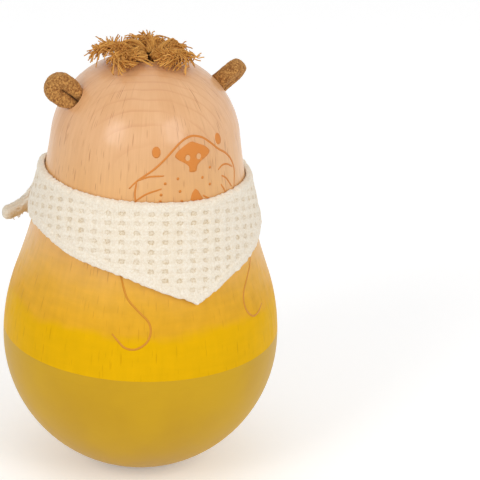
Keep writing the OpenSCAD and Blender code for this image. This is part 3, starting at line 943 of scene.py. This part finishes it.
def off_head(p, r):
    """The point p, moved out of the head's dome if a strand of radius r would sink into it."""
    rho = hypot(p[0], p[1])
    ring = np.array([p[0], p[1], 0]) / max(rho, 1e-6) * min(rho, CROWN_FLAT_R) + np.array([0, 0, HEAD_Z])
    gap = np.linalg.norm(p - ring)
    reach = HEAD_R + r + TUFT_CLEARANCE
    if gap >= reach or rho < TUFT_RING_R + TUFT_CORD_R:
        return p
    return ring + (p - ring) * reach / gap


def plied_cord(mesh, path, across):
    """The tight cord of twisted plies."""
    for ply in range(PLIES):
        line = []
        for i, (p, (_, u, v)) in enumerate(zip(path, frames(path, across))):
            a = 2 * pi * (ply / PLIES + i / PLY_TURN_STEPS)
            line.append(p + PLY_OFF * (cos(a) * u + sin(a) * v))
        points, faces = tube(line, [PLY_R] * len(line), across, PLY_SIDES)
        # The plies deep in the tuft take painted shade
        mesh.add(points, faces, tone=[PLY_TONE] * len(points), root=[PLY_SHADE] * len(points))


def tuft_cord(mesh, index, rng):
    """One cord end: twisted yarns that come up through the hole, bend outwards and fall apart."""

    def give(x):
        return rng.uniform(-x, x)

    def way_out(t):
        return bezier([mouth, bend, root], t)

    angle, reach, rise, lift, length, fan, first = TUFT_CORDS[index]
    start = TUFT_FIRST - 360 / len(TUFT_CORDS) * index
    low = around(start, TUFT_RING_R, TUFT_LOW_Z)
    mouth = around(start, TUFT_RING_R, CROWN_Z)
    bend = around(start, TUFT_RING_R, CROWN_Z + TUFT_BEND)
    root = around(angle, reach, CROWN_Z + rise)
    axis = around(angle, cos(radians(lift)), sin(radians(lift)))
    across = around(angle + 90, 1, 0)
    up = np.cross(across, axis)
    path = [mix(low, mouth, k / HOLE_STEPS) for k in range(HOLE_STEPS)]
    path += [way_out(PLY_END * k / BEND_STEPS) for k in range(BEND_STEPS + 1)]
    plied_cord(mesh, path, across)
    # The loose yarns: locks of them leave the cord somewhere along its bend and curl out of it together
    for k in range(LOCKS):
        lock_share = sqrt((k + 0.5) / LOCKS)
        lock_turn = GOLDEN_TURN * k + give(LOCK_TURN_GIVE)
        lock_leave = mix(first, 1, (GOLDEN_SHARE * k % 1) ** 0.5)
        lock_fan = fan * lock_share + give(LOCK_FAN_GIVE)
        lock_length = length * rng.uniform(*LOCK_LENGTH)
        lock_sway = [np.array([give(1) for _ in range(3)]) for _ in range(2)]
        beat, phase, droop = rng.uniform(*LOCK_BEAT), rng.uniform(0, LOCK_PHASE), rng.uniform(0, LOCK_DROOP)
        lock_tone = rng.random()
        for _ in range(LOCK_YARNS):
            share = min(max(lock_share + give(YARN_SHARE_GIVE), YARN_INNER), 1)
            turn = lock_turn + give(YARN_TURN_GIVE) / max(share, YARN_TURN_INNER)
            leave = min(lock_leave + give(YARN_LEAVE_GIVE), 1)
            # Along the cord, then out of it
            stem = [way_out(mix(STEM_FIRST, leave, i / STEM_STEPS)) for i in range(STEM_STEPS + 1)]
            wide_in, wide_out = STEM_WIDE * TUFT_CORD_R, TUFT_ROOT_R * mix(STEM_EARLY, 1, leave)
            line = []
            for i, (p, (tangent, u, v)) in enumerate(zip(stem, frames(stem, across))):
                a = turn + STEM_TWIST * (STEM_STEPS - i)
                width = share * mix(wide_in, wide_out, ease(i / STEM_STEPS))
                line.append(p + width * (cos(a) * u + sin(a) * v))
            ahead = axis if leave > AHEAD_FROM else unit(mix(tangent, axis, AHEAD_SHARE))
            out = cos(turn) * across + FAN_FLAT * sin(turn) * up
            spread = radians(lock_fan + give(YARN_FAN_GIVE))
            reach_out = lock_length * rng.uniform(*YARN_LENGTH) * mix(YARN_EARLY, 1, leave)
            begin = line[-1]
            knee = begin + reach_out * (KNEE_AHEAD * ahead + KNEE_OUT * sin(spread) * out)
            tip = begin + reach_out * (TIP_AHEAD * cos(spread) * ahead + sin(spread) * out)
            line += [bezier([begin, knee, tip], (i + 1) / LOOSE_STEPS) for i in range(LOOSE_STEPS)]
            # Crinkled, drooping and clear of the head
            sway = [s + np.array([give(YARN_SWAY_GIVE) for _ in range(3)]) for s in lock_sway]
            yarn_phase = phase + give(YARN_PHASE_GIVE)
            wavy = []
            for i, p in enumerate(line):
                t = max(i - STEM_STEPS, 0) / LOOSE_STEPS
                slow, quick = sin(beat * i + yarn_phase), sin(QUICK_BEAT * beat * i)
                crinkle = sway[0] * slow + QUICK_SHARE * sway[1] * quick
                at = p + mix(*CRINKLE, ease(i / STEM_STEPS)) * crinkle - np.array([0, 0, droop * t * t])
                wavy.append(off_head(at, YARN_R))
            count = len(wavy)
            radii = [YARN_R * mix(1, YARN_TIP, i / count) for i in range(count)]
            points, faces = tube(wavy, radii, across, YARN_SIDES)
            # Painted shade: the inner yarns are darker, and each yarn darkens towards its root
            dark = mix(*ROOT_SHADE, share)
            tone = min(max(lock_tone + give(YARN_TONE_GIVE), 0), 1)
            fading = [ease((i - ROOT_SHADE_END * STEM_STEPS) / STEM_STEPS) for i in range(count)]
            root_shades = [mix(dark, 0, fade) for fade in fading for _ in range(YARN_SIDES)]
            mesh.add(points, faces, tone=[tone] * len(points), root=root_shades)


def make_tuft(material):
    rng = random.Random(TUFT_SEED)
    for i in range(len(TUFT_CORDS)):
        mesh = Mesh()
        tuft_cord(mesh, i, rng)
        name = f"tuft_cord_{i + 1}"
        mesh.piece(name + "_frayed", "toy", material, [name])


# Neckerchief


def gathered(angle):
    return ease((abs(angle) - GATHER_START) / (180 - GATHER_START))


def scarf_low(angle):
    free = SCARF_TOP_Z - SCARF_DROP + SCARF_RISE * (1 - exp(-abs(angle) / SCARF_SPREAD))
    return mix(free, KNOT_Z - GATHER_H / 2, gathered(angle))


def scarf_high(angle):
    free = SCARF_TOP_Z - SCARF_SLANT * sin(radians(angle))
    return mix(free, KNOT_Z + GATHER_H / 2, gathered(angle))


def cloth_point(angle, z, share, depth):
    """A point in the cloth: share of the height, and depth from its inner face outwards."""
    sway = SCARF_LIFT * sin(radians(angle)) ** 2 * sin(pi * mix(0.1, 1, share))
    return around(angle + SCARF_TURN, body_r(z, CLOTH_GAP + sway + depth), z)


def cells(angle, z):
    """Place on the cloth's weave, in cells across and down. Whole numbers are the cells' middles."""
    off = angle + SCARF_TURN - GRAIN_ANGLE
    middle = radians(COLUMN_ANGLE - GRAIN_ANGLE) * body_r(COLUMN_Z, CLOTH_T)
    column = (radians(off) * body_r(z, CLOTH_T) - middle) / CELL_W
    return column, (ROW_Z - z - ROW_SAG * off**2) / CELL_H


def waffle(column, row):
    """Depth of a cell's pit, from 0 on the ridges to about 1 in its middle, uneven from cell to cell."""
    across = max(cos(pi * (column - round(column))), 0)
    down = max(cos(pi * (row - round(row))), 0)
    odd = noise.noise(Vector((round(column) * 3.7, round(row) * 5.1, 1.3)))
    return (across**2 * down**2) ** PIT_SHARP * (PIT_EVEN + PIT_ODD * odd)


def make_scarf(material):
    points, numbers = [], []
    for i in range(SCARF_COLUMNS):
        angle = 360 * i / SCARF_COLUMNS - 180
        fold = gathered(angle)
        thick = CLOTH_T + GATHER_T * fold
        frayed = Vector((sin(radians(angle)), cos(radians(angle)), 0))
        wave = EDGE_WAVE * sin(radians(EDGE_WAVES * angle))
        wave = wave * ease((abs(angle) - POINT_STILL) / POINT_EASE) * (1 - fold)
        low = scarf_low(angle) + wave + EDGE_FRAY * lumps(frayed * 24)
        high = scarf_high(angle) + EDGE_FRAY * lumps(frayed * 26 + Vector((0, 0, 9)))
        high -= sum(depth * exp(-(((angle - at) / wide) ** 2)) for at, wide, depth in EDGE_DIPS)
        # Its outer face, from the lower edge to the upper
        for j in range(SCARF_ROWS):
            share = j / (SCARF_ROWS - 1)
            z = mix(low, high, share)
            column, row = cells(angle, z)
            hem_low = 1 - ease((z - low - HEM_FULL * HEM_LOW_W) / (HEM_LOW_FADE * HEM_LOW_W))
            hem_top = 1 - ease((high - z - HEM_FULL * HEM_TOP_W) / (HEM_TOP_FADE * HEM_TOP_W))
            hem = max(hem_low, hem_top)
            weave = (1 - hem) * (1 - fold)
            pit = waffle(column, row) * weave
            stitch = exp(-(((z - low - HEM_LOW_W) / STITCH_W) ** 2))
            stitch *= 0.6 + 0.4 * sin(2 * angle)
            knobs = lumps(Vector((angle * 0.55, z, 3)) * 1.2)
            pleats = PLEAT_DEPTH * fold * sin(pi * PLEATS * share) ** 2
            depth = thick + 0.5 * HEM_T * hem - PIT_DEPTH * pit - STITCH_DEPTH * stitch
            depth = depth + mix(*KNOB_DEPTH, hem) * knobs - pleats
            inwards = 1 - min(min(z - low, high - z) / EDGE_ROUND, 1)
            roll = EDGE_ROLL * thick * (1 - sqrt(max(1 - inwards**2, 0)))
            points.append(cloth_point(angle, z, share, max(depth - roll, EDGE_LEAST * thick)))
            # Painted shade amount: in the pits and along the stitches
            numbers.append((max(pit, STITCH_SHADE * stitch * (1 - fold)), column, row, weave))
        # Its inner face, back down
        for j in range(SCARF_INNER_ROWS):
            share = 1 - j / (SCARF_INNER_ROWS - 1)
            z = mix(low, high, share)
            inwards = 1 - min(min(z - low, high - z) / EDGE_ROUND, 1)
            points.append(cloth_point(angle, z, share, INNER_ROLL * thick * inwards**2))
            numbers.append((0, *cells(angle, z), 0))
    rings = ring_faces(SCARF_COLUMNS, SCARF_ROWS + SCARF_INNER_ROWS, True)
    values = dict(zip(("pit", "column", "row", "open"), zip(*numbers)))
    mesh = Mesh()
    mesh.add(points, [(a, d, c, b) for a, b, c, d in rings], **values)
    return mesh.piece("waffle_neckerchief", "scarf", material, ["scarf_cloth"])


def folds(phase, sharp=8):
    """Narrow folds, 1 in their middle and 0 between them."""
    return max(cos(phase), 0) ** sharp


def scarf_back(p):
    """A point near the knot's centre, taken to the back of the neck."""
    knot_y = body_r(KNOT_Z, CLOTH_GAP + CLOTH_T + GATHER_T + HEM_T) + KNOT_GAP + KNOT_D / 2
    turn = Matrix.Rotation(radians(SCARF_TURN), 3, "Z")
    return np.array(turn @ Vector((p[0], p[1] + knot_y, p[2] + KNOT_Z)))


def make_tail(name, side, material, rng):
    """A rolled tie end with lengthwise folds, a rounded tip and loose threads along its raw edge."""
    seat = np.array([side * (KNOT_W / 2 - KNOT_SEAT), 0, 0])
    start = np.array([side * (KNOT_W / 2 + KNOT_GAP), 0, 0])
    turn = start + np.array([side * TAIL_REACH * TAIL_STRAIGHT, 0, 0])
    sag = turn + np.array([0, -TAIL_CURL / 2, -TAIL_DROP])
    tip = start + np.array([side * TAIL_REACH, -TAIL_CURL, -TAIL_DROP])
    steps, sides = 96, 48
    path = [bezier([seat, turn, sag, tip], k / steps) for k in range(steps + 1)]
    length = sum(np.linalg.norm(b - a) for a, b in zip(path, path[1:]))
    mesh = Mesh()
    points, numbers = [], []
    path_frames = frames(path, np.array([0, 0, 1.0]))
    for i, (p, (_, u, v)) in enumerate(zip(path, path_frames)):
        t = i / steps
        end = sqrt(max(1 - max((t - (1 - TAIL_ROUND)) / TAIL_ROUND, 0) ** 2, 0.02))
        for a in turns(sides):
            groove = folds(1.5 * (a - 0.9 - 0.8 * t), 10)
            knob = lumps(Vector((9 * t + side, 2 * cos(a), 2 * sin(a))) * 2.2)
            r = mix(1, TAIL_SLIM, t) * end * (0.96 - TAIL_GROOVE * groove + TAIL_KNOB * knob)
            points.append(scarf_back(p + r * (TAIL_W / 2 * cos(a) * u + TAIL_T / 2 * sin(a) * v)))
            # Painted shade in the grooves and dents, less on the knobs
            shade = min(max(0.7 * groove - 0.7 * knob, 0), 1)
            numbers.append((shade, a * TAIL_W / 2 / CELL_W, t * length / CELL_H))
    values = dict(zip(("pit", "column", "row"), zip(*numbers)))
    mesh.add(points, tube_faces(steps + 1, sides), **values)
    for _ in range(FRAY_THREADS):
        i = rng.randrange(int(FRAY_FROM * steps), steps - 4)
        a = pi + rng.uniform(-0.9, 0.9)
        _, u, v = path_frames[i]
        astray = np.array([rng.uniform(-0.5, 0.5), 0, rng.uniform(-0.3, 0.3)])
        out = unit(cos(a) * u + sin(a) * v + astray)
        base = path[i] + 0.8 * (TAIL_W / 2 * cos(a) * u + TAIL_T / 2 * sin(a) * v)
        bow = np.array([rng.uniform(-0.4, 0.4) for _ in range(3)])
        end = base + rng.uniform(*FRAY_LENGTH) * out
        bent = [base, mix(base, end, 0.5) + bow, end]
        line = [scarf_back(bezier(bent, j / FRAY_STEPS)) for j in range(FRAY_STEPS + 1)]
        loose, loose_faces = tube(line, [FRAY_R] * len(line), np.array([0.3, 0.4, 0.8]), 5)
        n = len(loose)
        mesh.add(loose, loose_faces, pit=[0.2] * n, column=[0.0] * n, row=[0.0] * n)
    return mesh.piece(name + "_rolled", "scarf", material, [name])


def make_knot(material):
    """One slanting wrap of folded cloth over the two ends that it ties."""
    wrap_r = KNOT_WRAP_T / 2
    lobe_r = KNOT_D / 2 - wrap_r / 2
    mesh = Mesh()
    rounds, sides = 72, 36
    slant = Matrix.Rotation(radians(KNOT_SLANT), 3, "Y")
    # The folds of the wrap and of the lobes carry painted shade
    points, fold_shades = [], []
    for a in turns(rounds):
        for b in turns(sides):
            fold = folds(2 * b + 0.7 * sin(a))
            r = wrap_r * (1 - KNOT_FOLD * fold)
            ring = KNOT_D / 2 - wrap_r + r * cos(b)
            p = slant @ Vector((r * sin(b), ring * cos(a), ring * sin(a)))
            points.append(scarf_back(np.array(p)))
            fold_shades.append(0.7 * fold)
    mesh.add(points, ring_faces(rounds, sides, True), pit=fold_shades)
    for side in (-1, 1):
        ball, ball_faces = globe(lobe_r, np.zeros(3), 24, 40)
        points, fold_shades = [], []
        for p in ball:
            a = atan2(p[2], p[1])
            fold = folds(2.5 * a + side)
            p = p * (1 - LOBE_FOLD * fold) + np.array([side * (KNOT_W / 2 - lobe_r), 0, 0])
            points.append(scarf_back(p))
            fold_shades.append(0.6 * fold)
        mesh.add(points, ball_faces, pit=fold_shades)
    return mesh.piece("neckerchief_knot", "scarf", material, ["scarf_knot"])


# Stage, light and camera


FLOOR = 3.0
LIGHT_AIM = (0, 0, 0.06)
# Name, place, size and power
LIGHTS = (
    ("softbox_left", (-1.16, -0.41, 0.77), (0.5, 0.7), 5.4),
    ("softbox_front", (0.21, -1.13, 0.82), (0.5, 0.7), 4.9),
    ("fill_right", (1.2, -0.3, 0.25), (1.4, 1.0), 1.5),
    ("top", (0, 0.15, 1.3), (1.0, 1.0), 1.5),
)
WORLD_LIGHT = 0.54


def make_stage():
    corners = [(x * FLOOR, y * FLOOR, 0) for x, y in ((-1, -1), (1, -1), (1, 1), (-1, 1))]
    mesh = bpy.data.meshes.new("floor")
    mesh.from_pydata(corners, [], [(0, 1, 2, 3)])
    mesh.materials.append(floor_paper())
    floor = put_in_scene("floor", mesh)


def area_light(name, place, size, power):
    data = bpy.data.lights.new(name, "AREA")
    data.shape = "RECTANGLE"
    data.size, data.size_y = size
    data.energy = power
    lamp = put_in_scene(name, data)
    lamp.location = place
    aim = Vector(LIGHT_AIM) - Vector(place)
    lamp.rotation_euler = aim.to_track_quat("-Z", "Y").to_euler()


def make_light():
    """Plain light on the toy, and a white studio to the eye and in the toy's gloss."""
    world = bpy.data.worlds.new("studio")
    bpy.context.scene.world = world
    world.use_nodes = True
    s = Nodes(world.node_tree)
    back = s.tree.nodes["Background"].inputs
    s.put(WHITE, back["Color"])
    s.put(s.fade(s.seen(), 0, 1, WORLD_LIGHT, 1), back["Strength"])
    for light in LIGHTS:
        area_light(*light)


CAMERA_AZIMUTH = -29
CAMERA_ELEVATION = 23.9
CAMERA_DISTANCE = 0.8
CAMERA_TARGET = (0, 0, 0.05955)
CAMERA_ROLL = 1.394
IMAGE_PX = 480
FOCAL_PX = 2759.8
TARGET_PX = (142.2, 267.7)


def make_camera():
    """The photograph's camera: it looks past the toy, which stands left of the middle."""
    data = bpy.data.cameras.new("camera")
    data.sensor_width = 36
    data.lens = FOCAL_PX / IMAGE_PX * data.sensor_width
    data.clip_start, data.clip_end = 0.01, 20
    camera = put_in_scene("camera", data)
    a, e = radians(CAMERA_AZIMUTH), radians(CAMERA_ELEVATION)
    back = Vector((sin(a) * cos(e), -cos(a) * cos(e), sin(e)))
    aside = atan((IMAGE_PX / 2 - TARGET_PX[0]) / FOCAL_PX)
    above = atan((TARGET_PX[1] - IMAGE_PX / 2) / FOCAL_PX)
    turn = (-back).to_track_quat("-Z", "Y").to_matrix().to_4x4()
    turn = turn @ Matrix.Rotation(radians(CAMERA_ROLL), 4, "Z")
    turn = turn @ Matrix.Rotation(-aside, 4, "Y") @ Matrix.Rotation(above, 4, "X")
    camera.matrix_world = Matrix.Translation(Vector(CAMERA_TARGET) + back * CAMERA_DISTANCE) @ turn
    bpy.context.scene.camera = camera


def dress(node, material):
    """Gives a CAD node its finish."""
    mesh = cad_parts[node].data
    mesh.materials.clear()
    mesh.materials.append(material)


make_camera()
make_light()
make_stage()
bpy.context.scene.view_settings.view_transform = "Standard"

dress("upper_body", varnished_beech())
dress("base_bowl", mustard_paint())
dress("ballast_weight", steel("turned_steel", linear(150, 152, 156)))
dress("ballast_screw", steel("bright_steel", linear(190, 190, 186)))
dress("tuft_binding", thread("binding_thread", linear(196, 170, 128), linear(150, 120, 80)))

make_print(print_ink())
wool = felted_cord()
for ear in EARS:
    make_ear(ear, wool)
make_tuft(tuft_yarn())
cloth = waffle_cloth()
scarf = make_scarf(cloth)
fray = random.Random(FRAY_SEED)
tails = [make_tail("scarf_tail_left", -1, cloth, fray), make_tail("scarf_tail_right", 1, cloth, fray)]
knot = make_knot(cloth)
